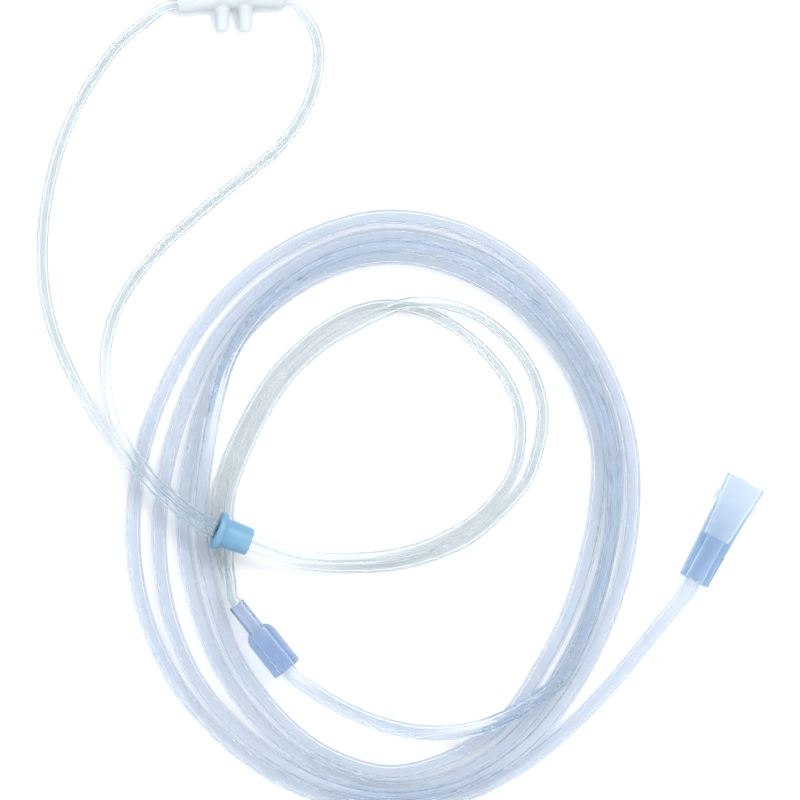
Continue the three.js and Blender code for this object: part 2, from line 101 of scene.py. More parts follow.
bpy.context.scene.view_settings.view_transform = "Standard"
bpy.context.scene.cycles.max_bounces = CLEAR_LAYERS
bpy.context.scene.cycles.transmission_bounces = CLEAR_LAYERS
room = bpy.data.worlds.new("white_studio")
room.use_nodes = True
tree = room.node_tree
tree.nodes.clear()
direction = node(tree, "ShaderNodeTexCoord")
height = node(tree, "ShaderNodeSeparateXYZ", Vector=direction.outputs["Generated"])
sky = node(tree, "ShaderNodeValToRGB", Fac=height.outputs["Z"])
sky.color_ramp.elements[0].position = 0.0
sky.color_ramp.elements[0].color = linear(ROOM_HORIZON)
sky.color_ramp.elements[1].position = ROOM_WHITE_FROM
sky.color_ramp.elements[1].color = linear(ROOM_ZENITH)
glow = node(
    tree, "ShaderNodeBackground", {"Strength": ROOM_STRENGTH}, Color=sky.outputs["Color"]
)
node(tree, "ShaderNodeOutputWorld", Surface=glow.outputs["Background"])
bpy.context.scene.world = room

lamp_data = bpy.data.lights.new("wide_lamp", "AREA")
lamp_data.size = LAMP_SIZE * MM
lamp_data.energy = LAMP_POWER
lamp = bpy.data.objects.new("wide_lamp", lamp_data)
lamp.location = Vector(LAMP_AT) * MM
lamp.rotation_euler = (-lamp.location).to_track_quat("-Z", "Y").to_euler()
bpy.context.scene.collection.objects.link(lamp)


def new_material(name):
    made = bpy.data.materials.new(name)
    made.use_nodes = True
    made.node_tree.nodes.clear()
    return made, made.node_tree


def finish_piece(name, form, material, smooth=True, crease=None):
    """Makes an object of a bmesh that was built in millimetres. Edges that turn by more
    than crease degrees stay crisp."""
    bmesh.ops.transform(form, matrix=Matrix.Scale(MM, 4), verts=form.verts)
    for face in form.faces:
        face.smooth = smooth
    mesh = bpy.data.meshes.new(name)
    form.to_mesh(mesh)
    form.free()
    if crease:
        mesh.set_sharp_from_angle(angle=radians(crease))
    mesh.materials.append(material)
    made = bpy.data.objects.new(name, mesh)
    bpy.context.scene.collection.objects.link(made)
    return made


# Plain white, lit so evenly that it reads as one white
table_paint, tree = new_material("white_laminate")
surface = node(tree, "ShaderNodeBsdfDiffuse", {"Color": linear(TABLE_WHITE)})
node(tree, "ShaderNodeOutputMaterial", Surface=surface.outputs["BSDF"])
form = bmesh.new()
bmesh.ops.create_grid(form, x_segments=1, y_segments=1, size=TABLE_HALF)
table = finish_piece("table", form, table_paint, smooth=False)

# Supply tube. Clear soft PVC, extruded 4.8 mm outside with small ridges along its bore
# that keep it open when it is trodden on. It leaves the Y connector, passes over the
# inner turn and lies in four loose turns before it goes out to the connector.
SUPPLY_TUBE_OD = 4.8
SUPPLY_BORE = 3.1
SUPPLY_RIDGES = 6
SUPPLY_RIDGE_HEIGHT = 0.45
SUPPLY_LENGTH = 2130
HEAD_TUBE_OD = 3.6
PAIR_GAP = 0.2
END_GAP = 0.3
LIE_GAP = 0.3
Y_BODY_OD = 9.6
Y_LENGTHS = {"neck": 10, "shoulder": 3, "body": 12.7}
Y_NECK_AT = (236.5, 603.3)
Y_TURN = 51.7
TAIL_OD = 9.8
MOUTH_OD = 12.9
CONNECTOR_LENGTHS = {"tail": 11.3, "barrel": 13.8, "flare": 9.6}
CONNECTOR_TURN = 62.2
TAIL_AT = (692.8, 580)
TUBE_STEP = 2.0
COIL_CENTRE = (385, 505)
COIL_OUTER = [
    255, 259.5, 265, 273, 284.5, 293.5, 295.5, 287, 275.5, 265, 257, 255.5,
    258.5, 265.5, 274.5, 284, 292.5, 300.5, 306, 304.5, 289, 270.5, 258.5, 254.5,
]
COIL_INNER = [
    203.5, 212.5, 218.5, 225.5, 233, 239, 240.5, 232.5, 219.5, 205.5, 188.5, 178,
    176.5, 179, 188, 205, 223.5, 245.5, 260, 252, 236, 215.5, 205, 200.5,
]
# How far across the coil each turn lies, from 0 inside to 1 outside, and how many
# diameters it is lifted by the turns under it, at every 45 degrees from the lower right
TURN_PLACES = [
    [0.58, 0.45, 0.33, 0.27, 0.08, 0.0, 0.0, 0.0],
    [0.0, 0.0, 0.0, 0.0, 0.1, 0.24, 0.29, 0.5],
    [0.53, 0.5, 0.5, 0.5, 0.52, 0.6, 0.72, 0.77],
    [1.0, 1.0, 1.0, 1.0, 1.0, 1.0, 1.0, 1.0],
]
TURN_LIFTS = [
    [0.9, 0.87, 0.87, 0.87, 0.97, 0.0, 0.0, 0.0],
    [0.0, 0.0, 0.0, 0.0, 0.0, 0.0, 0.0, 0.0],
    [0.0, 0.0, 0.0, 0.0, 0.0, 0.0, 0.0, 0.87],
    [0.35, 0.0, 0.0, 0.0, 0.0, 0.0, 0.0, 0.0],
]
TURN_START = -45
TURN_KNOT = 45
TURN_STEP = 15
LAST_TURN_SWEEP = 330
CURVE_STEPS = 24

supply_on_table = SUPPLY_TUBE_OD / 2
head_on_table = HEAD_TUBE_OD / 2
pair_spacing = HEAD_TUBE_OD + PAIR_GAP


def heading(turn, lift=0.0):
    """A direction turned up from +X by turn and lifted off the table by lift, degrees."""
    flat = cos(radians(lift))
    return Vector((cos(radians(turn)) * flat, sin(radians(turn)) * flat, sin(radians(lift))))


def spline(values, place):
    """A smooth value between evenly spaced ones, at a place counted in spacings."""
    first = int(np.clip(np.floor(place), 0, len(values) - 2))
    t = place - first
    a, b, c, d = (values[int(np.clip(first + i, 0, len(values) - 1))] for i in (-1, 0, 1, 2))
    return 0.5 * (
        2 * b + (c - a) * t + (2 * a - 5 * b + 4 * c - d) * t * t
        + (3 * b - a - 3 * c + d) * t ** 3
    )


def around(edge, turn):
    """The coil's edge, in picture units from its centre, at turn degrees from +X."""
    spacing = 360 / len(edge)
    return spline(edge[-1:] + edge + edge[:3], (turn % 360) / spacing + 1)


def smooth_line(points, step):
    """Points at even steps along one smooth curve through the given points."""
    points = [np.array(p, dtype=float) for p in points]
    points = [2 * points[0] - points[1]] + points + [2 * points[-1] - points[-2]]
    fine = []
    for p0, p1, p2, p3 in zip(points, points[1:], points[2:], points[3:]):
        t0 = 0.0
        t1 = t0 + sqrt(np.linalg.norm(p1 - p0))
        t2 = t1 + sqrt(np.linalg.norm(p2 - p1))
        t3 = t2 + sqrt(np.linalg.norm(p3 - p2))
        for t in np.linspace(t1, t2, CURVE_STEPS, endpoint=False):
            a1 = (t1 - t) / (t1 - t0) * p0 + (t - t0) / (t1 - t0) * p1
            a2 = (t2 - t) / (t2 - t1) * p1 + (t - t1) / (t2 - t1) * p2
            a3 = (t3 - t) / (t3 - t2) * p2 + (t - t2) / (t3 - t2) * p3
            b1 = (t2 - t) / (t2 - t0) * a1 + (t - t0) / (t2 - t0) * a2
            b2 = (t3 - t) / (t3 - t1) * a2 + (t - t1) / (t3 - t1) * a3
            fine.append((t2 - t) / (t2 - t1) * b1 + (t - t1) / (t2 - t1) * b2)
    fine.append(points[-2])
    return evenly(np.array(fine), step)


def evenly(line, step):
    """The same line, as points at even steps along it."""
    run = np.concatenate([[0], np.cumsum(np.linalg.norm(np.diff(line, axis=0), axis=1))])
    places = np.linspace(0, run[-1], max(int(round(run[-1] / step)), 2) + 1)
    return np.stack([np.interp(places, run, line[:, i]) for i in range(3)], axis=1)


connector_length = sum(CONNECTOR_LENGTHS.values())
connector_lift = degrees(atan2((MOUTH_OD - TAIL_OD) / 2, connector_length))
connector_axis = heading(CONNECTOR_TURN, connector_lift)
tail_face = at(*TAIL_AT, TAIL_OD / 2 * cos(radians(connector_lift)))
y_axis = heading(-Y_TURN)
neck_face = at(*Y_NECK_AT, Y_BODY_OD / 2)
y_end = neck_face + y_axis * sum(Y_LENGTHS.values())

supply_points = [
    y_end + y_axis * END_GAP,
    y_end + y_axis * (END_GAP + SUPPLY_TUBE_OD / 2),
    at(308, 686, supply_on_table + 1.1),
    at(328, 699, supply_on_table + 0.2),
    at(352, 712, supply_on_table),
    at(380, 723.2, supply_on_table),
    at(410, 730.3, supply_on_table + 0.3),
    at(436, 732.3, supply_on_table + 1),
    at(458, 731, supply_on_table + 1.9),
    at(486, 725, supply_on_table + 3.6),
    at(511, 714, supply_on_table + 4.8),
    at(534, 699.5, supply_on_table + 4.7),
]
places = sum(TURN_PLACES, [])
lifts = sum(TURN_LIFTS, [])
last_turn = TURN_START + 360 * (len(TURN_PLACES) - 1) + LAST_TURN_SWEEP
for turn in range(TURN_START, last_turn + 1, TURN_STEP):
    knot = (turn - TURN_START) / TURN_KNOT
    place = spline(places, knot)
    lift = max(spline(lifts, knot), 0)
    inner = around(COIL_INNER, turn) * UNIT + SUPPLY_TUBE_OD / 2
    outer = around(COIL_OUTER, turn) * UNIT - SUPPLY_TUBE_OD / 2
    reach = inner + (outer - inner) * place
    supply_points.append(
        at(*COIL_CENTRE, supply_on_table + lift * SUPPLY_TUBE_OD) + heading(turn) * reach
    )
supply_points += [
    at(488, 780.5, supply_on_table),
    at(515, 765.8, supply_on_table),
    at(540, 749, supply_on_table),
    at(563, 731, supply_on_table),
    at(587, 709, supply_on_table),
    at(612, 682.5, supply_on_table),
    at(635, 655, supply_on_table),
    at(657, 627.5, supply_on_table + 0.4),
    at(676, 604, supply_on_table + 1.3),
    tail_face - connector_axis * (END_GAP + SUPPLY_TUBE_OD / 2),
    tail_face - connector_axis * END_GAP,
]
supply_line = smooth_line(supply_points, TUBE_STEP)

# Head tubes. Two clear soft PVC tubes, 3.6 mm outside, glued into the prong piece and
# the Y connector. They meet beside the coil, climb over it one above the other, pass
# through the slider, part round the loop and cross once on the way to the Y connector.
HEAD_BORE = 2.1
CROSSBAR_OD = 6.1
CROSSBAR_LEFT = (178, 5.8)
CROSSBAR_RIGHT = (284.6, 1.5)
LEFT_END_DROP = 9
RIGHT_END_DROP = 7
SLIDER_LENGTH = 11
SLIDER_TRAVEL = 10
SLIDER_DROP = 9
SLIDER_TURN = 21
SLIDER_WALL = 0.45
SLIDER_TAPER = 0.3
SLIDER_CLEARANCE = 0.15
FLANGE_STEP = 1.3
FLANGE_AT = (217.7, 528.7)
PAIR_LEAN = 48
COIL_SLACK = 0.2

coil_height = SUPPLY_TUBE_OD + COIL_SLACK
head_on_coil = coil_height + LIE_GAP + HEAD_TUBE_OD / 2
bore_width = HEAD_TUBE_OD + 2 * SLIDER_CLEARANCE
bore_length = pair_spacing + bore_width
slider_end_r = bore_length / 2 + SLIDER_WALL
flange_r = slider_end_r + SLIDER_TAPER + FLANGE_STEP
flange_height = coil_height + LIE_GAP + flange_r
slider_axis = heading(-SLIDER_TURN, -SLIDER_DROP)
flange_face = at(*FLANGE_AT, flange_height)


def lean_rise(lean):
    return sin(radians(lean)) * pair_spacing / 2


straight_run = SLIDER_LENGTH + SLIDER_TRAVEL + END_GAP
run_end = flange_face + slider_axis * straight_run
pair_rest = head_on_table + lean_rise(PAIR_LEAN)
fall = run_end.z - pair_rest
run_places = (7, 8, 9)  # the stations on the straight run that the slider travels
pair_stations = [
    (at(120, 441.5, head_on_coil + 0.1), 30),
    (at(131, 457, head_on_coil + 1.6), 45),
    (at(144, 472, head_on_coil + 2.4), 58),
    (at(158, 486, head_on_coil + 3.4), 62),
    (at(172, 498.5, head_on_coil + 4.2), 62),
    (at(187, 510.5, flange_height + 0.8), 58),
    (at(202, 520.8, flange_height + 0.7), 52),
    (flange_face - slider_axis * 0.5, PAIR_LEAN),
    (flange_face + slider_axis * (straight_run / 2), PAIR_LEAN),
    (run_end, PAIR_LEAN),
    (at(302, 559.3, pair_rest + fall * 0.6), PAIR_LEAN),
    (at(323, 561.8, pair_rest + fall * 0.23), PAIR_LEAN),
    (at(346, 562.5, pair_rest + fall * 0.05), PAIR_LEAN),
    (at(372, 561.8, pair_rest), PAIR_LEAN),
    (at(399, 558.5, pair_rest), PAIR_LEAN),
    (at(425, 551.7, head_on_table + lean_rise(40)), 40),
    (at(449, 541.8, head_on_table + lean_rise(22)), 22),
    (at(471, 529.5, head_on_table), 0),
]


def pair_tube(side):
    """One tube of the pair: side is 1 for the right head tube and -1 for the left."""
    line = []
    for index, (middle, lean) in enumerate(pair_stations):
        before = pair_stations[max(index - 1, 0)][0]
        after = pair_stations[min(index + 1, len(pair_stations) - 1)][0]
        along = slider_axis if index in run_places else (after - before).normalized()
        level = Vector((-along.y, along.x, 0)).normalized()
        over = along.cross(level)
        offset = level * cos(radians(lean)) + over * sin(radians(lean))
        line.append(middle + offset * (side * pair_spacing / 2))
    return line


def neck_entry(side, distance):
    return neck_face - y_axis * distance + Vector((0, 0, side * pair_spacing / 2))


def beside(apart):
    """Height of a tube that leans on another, apart picture units away from it."""
    return head_on_table + sqrt(max(pair_spacing ** 2 - (apart * UNIT) ** 2, 0))


left_out = heading(180 + LEFT_END_DROP)
right_out = heading(-RIGHT_END_DROP)
crossbar_left = at(*CROSSBAR_LEFT, CROSSBAR_OD / 2)
crossbar_right = at(*CROSSBAR_RIGHT, CROSSBAR_OD / 2)
crossing = head_on_table + pair_spacing + LIE_GAP
hump_foot = head_on_table + (crossing - head_on_table) * 0.45

left_points = [
    crossbar_left + left_out * END_GAP,
    crossbar_left + left_out * (END_GAP + HEAD_TUBE_OD),
    at(146, 22, head_on_table + 0.2),
    at(121, 42.5, head_on_table),
    at(98, 72.5, head_on_table),
    at(79, 104, head_on_table),
    at(64, 138, head_on_table),
    at(52.5, 176, head_on_table),
    at(45, 216, head_on_table),
    at(42.8, 256, head_on_table),
    at(46, 298, head_on_table),
    at(56, 337, head_on_table),
    at(72, 373.5, head_on_table + 1),
    at(91, 408, head_on_table + 3),
    *pair_tube(-1),
    at(503.5, 508.5, head_on_table),
    at(526, 482, head_on_table),
    at(538, 450, head_on_table),
    at(543, 418, head_on_table),
    at(537.5, 385, head_on_table),
    at(521, 353.5, head_on_table),
    at(497, 329, head_on_table + 0.2),
    at(468.5, 311.5, hump_foot),
    at(437, 303.2, crossing),
    at(407, 303.5, crossing),
    at(379, 313.5, beside(3) + 0.1),
    at(356, 325.2, head_on_table),
    at(332, 338.3, head_on_table),
    at(310, 355.3, head_on_table),
    at(287, 379, head_on_table),
    at(267.5, 407.5, head_on_table),
    at(252, 437.5, head_on_table),
    at(239, 468, head_on_table),
    at(230, 495, head_on_table),
    at(227.5, 523, head_on_table + 0.1),
    at(228.2, 546, beside(11.2)),
    at(228.3, 555, head_on_table + 2.8),
    at(228.6, 567, beside(4.7) + 0.1),
    at(231.7, 586, head_on_table + pair_spacing + 0.6),
    neck_entry(1, 2),
    neck_entry(1, END_GAP),
]
right_points = [
    crossbar_right + right_out * END_GAP,
    crossbar_right + right_out * (END_GAP + HEAD_TUBE_OD * 0.7),
    at(303, 13.5, head_on_table + 0.4),
    at(314.5, 32, head_on_table),
    at(319.3, 58, head_on_table),
    at(314.5, 87, head_on_table),
    at(302, 117, head_on_table),
    at(279, 147.5, head_on_table),
    at(249, 173, head_on_table),
    at(217, 198.5, head_on_table),
    at(185, 225.5, head_on_table),
    at(156, 253.5, head_on_table),
    at(131, 284.5, head_on_table),
    at(113.5, 319, head_on_table + 0.4),
    at(106, 355, head_on_table + 2.2),
    at(107.5, 391, head_on_table + 4.2),
    at(115, 421.5, head_on_table + 5.6),
    *pair_tube(1),
    at(495, 499.5, head_on_table),
    at(513, 473, head_on_table),
    at(520.5, 440, head_on_table),
    at(518, 407, head_on_table),
    at(505, 377, head_on_table),
    at(483, 350, head_on_table),
    at(455, 327.8, head_on_table),
    at(425, 312, head_on_table),
    at(391, 305.5, head_on_table),
    at(358, 311, head_on_table),
    at(327, 326, head_on_table),
    at(301, 346.3, head_on_table),
    at(276, 371.8, head_on_table),
    at(256, 402, head_on_table),
    at(239.5, 433.5, head_on_table),
    at(226.5, 464.5, head_on_table),
    at(217.5, 493.5, head_on_table),
    at(215, 523, head_on_table),
    at(217.3, 546, head_on_table),
    at(219.7, 555, head_on_table),
    at(223.9, 567, head_on_table),
    at(231, 586, head_on_table + 0.6),
    neck_entry(-1, 2),
    neck_entry(-1, END_GAP),
]
left_line = smooth_line(left_points, TUBE_STEP)
right_line = smooth_line(right_points, TUBE_STEP)

# Settling. The tubes are soft and lie against each other: each is nudged off the ones
# that it touches, down to the table where nothing holds it, and evened out in height.
SETTLE_ROUNDS = 200
TOUCH_GAP = 0.08
EVENING = 0.6
LAST_EVENING = 0.5
SINK_STEP = 0.01
SIDE_SHARE = 0.35


def settle(lines, radii, held):
    """The lines after settling. held is 1 where a point may move and 0 where it stays."""
    points = np.concatenate(lines)
    start = points.copy()
    radius = np.concatenate([np.full(len(line), r) for line, r in zip(lines, radii)])
    owner = np.concatenate([np.full(len(line), i) for i, line in enumerate(lines)])
    order = np.arange(len(points))
    free = np.concatenate(held).astype(float)
    reach = radius[:, None] + radius[None, :] + TOUCH_GAP
    flat = np.linalg.norm(points[:, None, :2] - points[None, :, :2], axis=2)
    near = (flat < reach * 1.6) & (
        (owner[:, None] != owner[None, :])
        | (np.abs(order[:, None] - order[None, :]) * TUBE_STEP > 4 * reach)
    )
    first, second = np.nonzero(np.triu(near))
    wanted = reach[first, second]
    moves = free > 0
    share = np.maximum(free[first] + free[second], 1e-6)
    shares = np.array([SIDE_SHARE, SIDE_SHARE, 1.0])
    for _ in range(SETTLE_ROUNDS):
        moved = points - start
        evened = (np.roll(moved, 1, axis=0) + np.roll(moved, -1, axis=0)) / 2
        points[moves, :2] += EVENING * (evened - moved)[moves, :2]
        level = (np.roll(points, 1, axis=0) + np.roll(points, -1, axis=0))[:, 2] / 2
        points[moves, 2] += EVENING * (level[moves] - points[moves, 2]) - SINK_STEP
        for _ in range(2):
            apart = points[first] - points[second]
            distance = np.maximum(np.linalg.norm(apart, axis=1), 1e-6)
            push = np.maximum(wanted - distance, 0) / distance / share
            shift = np.zeros_like(points)
            count = np.zeros(len(points))
            np.add.at(shift, first, apart * (push * free[first])[:, None])
            np.add.at(shift, second, -apart * (push * free[second])[:, None])
            np.add.at(count, first, push > 0)
            np.add.at(count, second, push > 0)
            points += shift / np.maximum(count, 1)[:, None] * shares
            points[moves, 2] = np.maximum(points[moves, 2], radius[moves])
    for _ in range(2):
        moved = points - start
        evened = (np.roll(moved, 1, axis=0) + np.roll(moved, -1, axis=0)) / 2
        points[moves] += LAST_EVENING * (evened - moved)[moves]
    ends = np.cumsum([0] + [len(line) for line in lines])
    return [points[a:b] for a, b in zip(ends, ends[1:])]


def loose(line, ends):
    """1 where a tube may move, falling to 0 over its first and last few points."""
    count = len(line)
    index = np.arange(count)
    return np.clip(np.minimum(index, count - 1 - index) / ends - 1, 0, 1)


def off_the_run(line):
    """As loose, and 0 along the straight run that the slider travels."""
    spots = np.array([Vector(p) - flange_face for p in line])
    along = spots @ np.array(slider_axis)
    away = np.linalg.norm(spots - along[:, None] * np.array(slider_axis), axis=1)
    on_run = (along > -3) & (along < straight_run + 1) & (away < pair_spacing)
    return loose(line, 4) * ~on_run


supply_line, left_line, right_line = settle(
    [supply_line, left_line, right_line],
    [SUPPLY_TUBE_OD / 2, HEAD_TUBE_OD / 2, HEAD_TUBE_OD / 2],
    [loose(supply_line, 6), off_the_run(left_line), off_the_run(right_line)],
)
# Tube meshes. Each is a wall swept along its settled line, run on into the fittings.
TUBE_SIDES = 32
TAIL_INSERT = 0.5
NECK_INSERT = 0.5
CROSSBAR_INSERT = 2.5


def skin(form, rows):
    """Adds a surface over rings of points, each joined to the next."""
    grid = bmesh.ops.create_grid(form, x_segments=len(rows[0]), y_segments=len(rows) - 1)
    places = [p for row in rows for p in list(row) + [row[0]]]
    for vertex, place in zip(grid["verts"], places, strict=True):
        vertex.co = place
    bmesh.ops.remove_doubles(form, verts=grid["verts"], dist=0.0005)


def frames(line):
    """Side and up directions along a line that turn with it and never twist."""
    along = np.gradient(line, axis=0)
    along /= np.linalg.norm(along, axis=1)[:, None]
    side = np.cross(along[0], [0, 0, 1.0])
    sides = []
    for direction in along:
        side = side - direction * (side @ direction)
        side /= np.linalg.norm(side)
        sides.append(side)
    sides = np.array(sides)
    return sides, np.cross(sides, along)


def rings(line, sides, ups, radii, count):
    """Rings of points round a line. radii is shaped to suit them: rings, points, 1."""
    angles = np.linspace(0, 2 * pi, count, endpoint=False)
    across = np.cos(angles)[None, :, None] * sides[:, None]
    upward = np.sin(angles)[None, :, None] * ups[:, None]
    return [list(row) for row in line[:, None] + (across + upward) * radii]


def tube_form(line, outer, bore, ridges=0, ridge_height=0.0):
    """A tube along a line, closed by a flat ring at each end, with ridges in its bore."""
    angles = np.linspace(0, 2 * pi, TUBE_SIDES, endpoint=False)
    ridge = ridge_height * (0.5 + 0.5 * np.cos(ridges * angles)) ** 2
    sides, ups = frames(line)
    outside = rings(line, sides, ups, outer / 2, TUBE_SIDES)
    inside = rings(line, sides, ups, (bore / 2 - ridge)[:, None], TUBE_SIDES)
    form = bmesh.new()
    skin(form, outside + inside[::-1] + outside[:1])
    bmesh.ops.recalc_face_normals(form, faces=form.faces)
    return form


def clear_pvc(name, tints, dull, absorbs, density, clearness=1.0, ior=1.22):
    """Soft PVC that lets light through. Its wall takes a little red out of the light, so
    that it is deeper in colour along its edges, where it is seen through more of it. The
    skin and the haze in it change slightly from place to place."""
    made, tree = new_material(name)
    place = node(tree, "ShaderNodeTexCoord")
    haze = node(
        tree, "ShaderNodeTexNoise", {"Scale": 120.0, "Detail": 1.0}, Vector=place.outputs["Object"]
    )
    hue = node(tree, "ShaderNodeValToRGB", Fac=haze.outputs["Fac"])
    hue.color_ramp.elements[0].position = 0.3
    hue.color_ramp.elements[0].color = linear(tints[0])
    hue.color_ramp.elements[1].position = 0.7
    hue.color_ramp.elements[1].color = linear(tints[1])
    rough = node(
        tree, "ShaderNodeMapRange",
        {"From Min": 0.3, "From Max": 0.7, "To Min": dull[0], "To Max": dull[1]},
        Value=haze.outputs["Fac"],
    )
    plastic = node(
        tree, "ShaderNodeBsdfPrincipled",
        {"Transmission Weight": clearness, "IOR": ior, "Subsurface Weight": 0.3,
         "Subsurface Scale": 0.002, "Specular IOR Level": 0.3},
        Base_Color=hue.outputs["Color"], Roughness=rough.outputs["Result"],
    )
    depth = node(
        tree, "ShaderNodeVolumeAbsorption", {"Color": linear(absorbs), "Density": density}
    )
    node(
        tree, "ShaderNodeOutputMaterial",
        Surface=plastic.outputs["BSDF"], Volume=depth.outputs["Volume"],
    )
    return made


def cord_of(piece, name, line, outer, length, **facts):
    """Attaches a piece to the root body."""
    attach(piece, "root")


supply_line = np.vstack([
    np.array(y_end - y_axis * TAIL_INSERT), supply_line,
    np.array(tail_face + connector_axis * TAIL_INSERT),
])
# Nearly clear, with a faint blue that deepens where strands lie over each other
supply_pvc = clear_pvc(
    "clear_supply_tube_pvc", ("#fbfdff", "#fdfeff"), (0.1, 0.18), "#84c0f0", 48.0, 1.0, 1.15
)
supply_tube = finish_piece(
    "supply_tube",
    tube_form(supply_line, SUPPLY_TUBE_OD, SUPPLY_BORE, SUPPLY_RIDGES, SUPPLY_RIDGE_HEIGHT),
    supply_pvc,
)
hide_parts("supply_tube_lead", "supply_tube_coil", "supply_tube_tail")

# Clear and colourless but for a grey green line along each edge
head_pvc = clear_pvc(
    "clear_head_tube_pvc", ("#fbfdfe", "#fdfeff"), (0.1, 0.18), "#97bfc2", 66.0, 1.0, 1.19
)
for name, line, side, out, crossbar_end in (
    ("left_head_tube", left_line, 1, left_out, crossbar_left),
    ("right_head_tube", right_line, -1, right_out, crossbar_right),
):
    line = np.vstack([
        np.array(crossbar_end - out * CROSSBAR_INSERT), line,
        np.array(neck_entry(side, -NECK_INSERT)),
    ])
    piece = finish_piece(name, tube_form(line, HEAD_TUBE_OD, HEAD_BORE), head_pvc)
    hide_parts(name)
    length = float(np.linalg.norm(np.diff(line, axis=0), axis=1).sum())
    cord_of(
        piece, "head_tube_pvc", line, HEAD_TUBE_OD, length,
        far_end="object", stiffness="limp", lay="loose",
    )

# Prong piece. One soft moulding: a bowed bar that takes a head tube in each end, with
# two short prongs for the nostrils, open at the tip. It is cloudier than the tubes.
PRONG_LENGTH = 7.4
PRONG_SPACING = 7.2
PRONG_LUMEN_OD = 2.2
BOW_REACH = 10.8
BOW_STEPS = 41
BAR_LUMEN_OD = 3.0
BAR_END_ROUNDING = 0.45
BAR_END_REACH = 1.2
SOCKET_DEPTH = 3.0
SOCKET_SLACK = 0.05
PRONG_SHIFT = (0.9, 1.1)
PRONG_SINK = 0.7
ROUND_SIDES = 32

handles = [
    crossbar_left, crossbar_left - left_out * BOW_REACH,
    crossbar_right - right_out * BOW_REACH, crossbar_right,
]
bow = []
for t in np.linspace(0, 1, BOW_STEPS):
    weights = ((1 - t) ** 3, 3 * t * (1 - t) ** 2, 3 * t * t * (1 - t), t ** 3)
    bow.append(sum((h * w for h, w in zip(handles, weights)), Vector()))
bow = np.array(bow)
bow_run = np.concatenate([[0], np.cumsum(np.linalg.norm(np.diff(bow, axis=0), axis=1))])
from_end = np.minimum(bow_run, bow_run[-1] - bow_run)
bar_radius = CROSSBAR_OD / 2 - BAR_END_ROUNDING * np.exp(-from_end / BAR_END_REACH)
bar_lumen = np.where(
    from_end < SOCKET_DEPTH, HEAD_TUBE_OD / 2 + SOCKET_SLACK, BAR_LUMEN_OD / 2
)
sides, ups = frames(bow)
form = bmesh.new()
outside = rings(bow, sides, ups, bar_radius[:, None, None], ROUND_SIDES)
inside = rings(bow, sides, ups, bar_lumen[:, None, None], ROUND_SIDES)
skin(form, outside + inside[::-1] + outside[:1])
middle = Vector(bow[BOW_STEPS // 2])
for side in (-1, 1):
    root = middle + Vector((PRONG_SHIFT[0] + side * PRONG_SPACING / 2, PRONG_SHIFT[1], 0))
    reach = CROSSBAR_OD / 2 + PRONG_LENGTH + PRONG_SINK
    profile = [  # distance down from the root, radius: the outside, the tip, then the lumen
        (1.2, 0.0), (1.2, 2.3), (3.2, 2.45), (4.2, 2.36), (7, 2.25), (reach - 0.9, 2.1),
        (reach - 0.3, 1.98), (reach - 0.03, 1.65), (reach, 1.3), (reach - 0.3, PRONG_LUMEN_OD / 2),
        (reach - 6, PRONG_LUMEN_OD / 2), (reach - 6.4, 0.0),
    ]
    line = np.array([root + Vector((0, -d, 0)) for d, r in profile])
    across = np.tile([1.0, 0, 0], (len(profile), 1))
    up = np.tile([0, 0, 1.0], (len(profile), 1))
    radii = np.array([r for d, r in profile])[:, None, None]
    skin(form, rings(line, across, up, radii, ROUND_SIDES))
bmesh.ops.recalc_face_normals(form, faces=form.faces)
# Milky and soft, nearly white, letting a little light through
prong_pvc = clear_pvc(
    "cloudy_soft_pvc", ("#e4eef0", "#eaf0f3"), (0.28, 0.4), "#a8c8d8", 7.0, 0.45
)
prongs = finish_piece("nasal_prongs_piece", form, prong_pvc)
melt = prongs.modifiers.new("one_moulding", "REMESH")
melt.mode = "VOXEL"
melt.voxel_size = 0.2 * MM
melt.use_smooth_shade = True
fillet = prongs.modifiers.new("soft_edges", "SMOOTH")
fillet.iterations = 5
fillet.factor = 0.6
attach(prongs, "root")
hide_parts("nasal_prongs")

# Slider. A blue sleeve with a round flange at its upper end that holds the two tubes
# together. It is pushed along them to tighten the loop under the chin.
slider_level = Vector((-slider_axis.y, slider_axis.x, 0)).normalized()
slider_over = slider_axis.cross(slider_level)
lean_side = slider_level * cos(radians(PAIR_LEAN)) + slider_over * sin(radians(PAIR_LEAN))
lean_up = slider_axis.cross(lean_side)


def oval_ring(centre, narrow, wide, radius, half, count):
    """A ring of that radius drawn out by half each way along the wide direction."""
    made = []
    for index in range(count):
        angle = 2 * pi * (index + 0.5) / count
        reach = radius * sin(angle) + (half if sin(angle) > 0 else -half)
        made.append(centre + narrow * (radius * cos(angle)) + wide * reach)
    return made


def lathe(form, start, axis, narrow, wide, profile, count=48):
    """Adds a closed form round an axis. Its profile holds, ring by ring, the place along
    the axis, the radius, and the half length by which the ring is drawn out."""
    rows = [
        oval_ring(start + axis * along, narrow, wide, radius, half, count)
        for along, radius, half in profile
    ]
    skin(form, rows + rows[:1])


